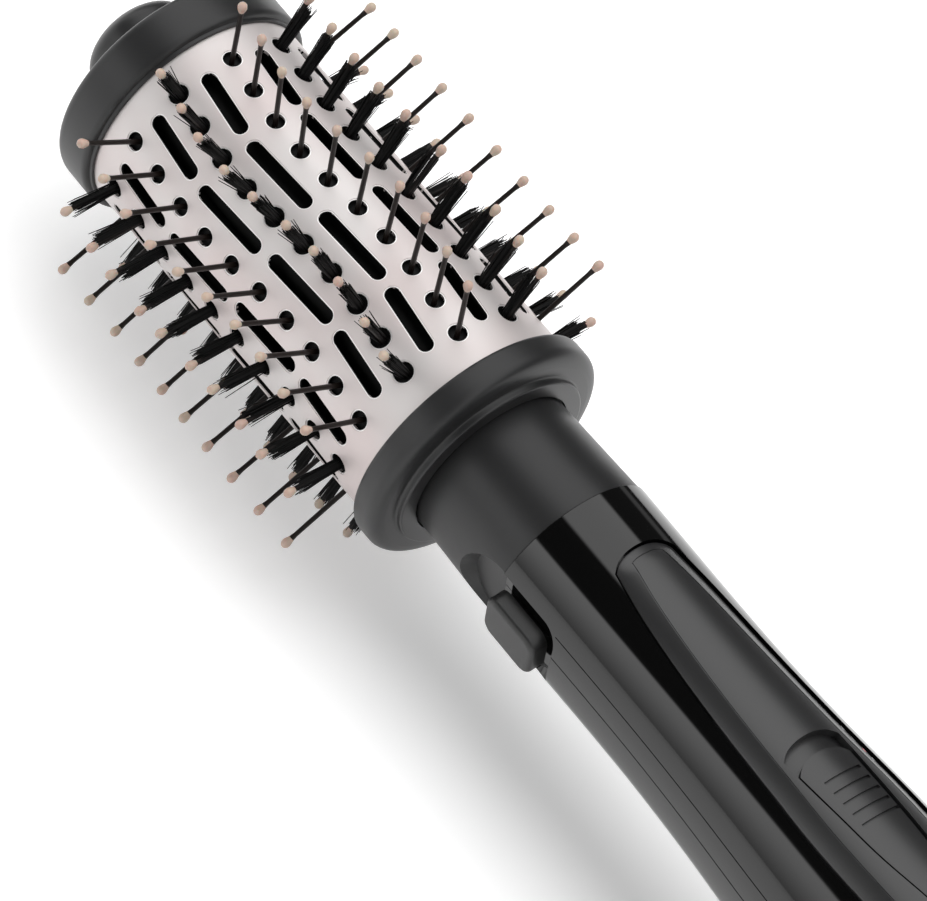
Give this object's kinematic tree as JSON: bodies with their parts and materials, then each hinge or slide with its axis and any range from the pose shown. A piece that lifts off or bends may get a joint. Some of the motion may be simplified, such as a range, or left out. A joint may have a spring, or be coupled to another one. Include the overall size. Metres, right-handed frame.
{
  "type": "hot air brush",
  "caption": "Rotating hot air styling brush: black handle with a slide switch and two side buttons, perforated metal barrel with rows of pins and bristle tufts.",
  "frame": {"origin": "centre of the cord gland's mouth at the tail end", "axes": "+X along the brush axis towards the tip, +Z out of the top of the handle where the slide switch is, +Y to the left"},
  "size_m": [0.3446, 0.0788, 0.0826],
  "materials": {
    "housing_black": "gloss",
    "soft_grey": "matte",
    "matte_black": "matte",
    "barrel_metal": "satin",
    "steel": "brushed",
    "brass": "satin",
    "bristle": "matte",
    "pin_plastic": "gloss",
    "mica": "matte",
    "board_green": "matte",
    "motor_can": "satin",
    "fan_white": "matte"
  },
  "bodies": {
    "handle": {"upper_shell": "housing_black", "lower_shell": "housing_black", "neck_sleeve": "matte_black", "grip_inlay": "soft_grey", "shell_screws": "steel", "tail_cap": "matte_black", "fan_motor": "motor_can", "motor_mount": "fan_white", "gear_motor": "motor_can", "bulkhead": "fan_white", "gearbox": "steel", "circuit_board": "board_green", "slide_switch_body": "matte_black", "left_microswitch": "matte_black", "right_microswitch": "matte_black", "core_tube": "steel", "heater_former": "mica", "heater_coil": "steel", "thermostat": "motor_can"},
    "brush_head": {"barrel": "barrel_metal", "rear_flange": "matte_black", "rear_bush": "brass", "tip_flange": "matte_black", "tip_knob": "matte_black", "rear_ring": "matte_black", "front_ring": "matte_black", "bristle_strips": "matte_black", "drive_shaft": "steel", "pins_1": "pin_plastic", "pins_2": "pin_plastic", "pins_3": "pin_plastic", "pins_4": "pin_plastic", "pins_5": "pin_plastic", "pins_6": "pin_plastic", "tufts_1": "bristle", "tufts_2": "bristle", "tufts_3": "bristle", "tufts_4": "bristle", "tufts_5": "bristle", "tufts_6": "bristle"},
    "fan": {"fan_impeller": "fan_white"},
    "power_slider": {"power_slider": "matte_black"},
    "left_button": {"left_button": "matte_black"},
    "right_button": {"right_button": "matte_black"},
    "cord_swivel": {"swivel_gland": "soft_grey"}
  },
  "joints": [
    {"name": "head_spin", "type": "hinge", "parent": "handle", "child": "brush_head", "pos_m": [0.225, 0, 0], "axis": [1, 0, 0], "continuous": true},
    {"name": "fan_spin", "type": "hinge", "parent": "handle", "child": "fan", "pos_m": [0.035, 0, 0], "axis": [1, 0, 0], "continuous": true},
    {"name": "power_slide", "type": "slide", "parent": "handle", "child": "power_slider", "axis": [1, 0, 0], "range_m": [0, 0.0036]},
    {"name": "left_press", "type": "slide", "parent": "handle", "child": "left_button", "axis": [0, -0.9703, 0.2419], "range_m": [0, 0.0012], "stiffness_N_per_m": 1500},
    {"name": "right_press", "type": "slide", "parent": "handle", "child": "right_button", "axis": [0, 0.9703, 0.2419], "range_m": [0, 0.0012], "stiffness_N_per_m": 1500},
    {"name": "cord_swivel", "type": "hinge", "parent": "handle", "child": "cord_swivel", "pos_m": [0.008, 0, 0], "axis": [1, 0, 0], "continuous": true}
  ]
}
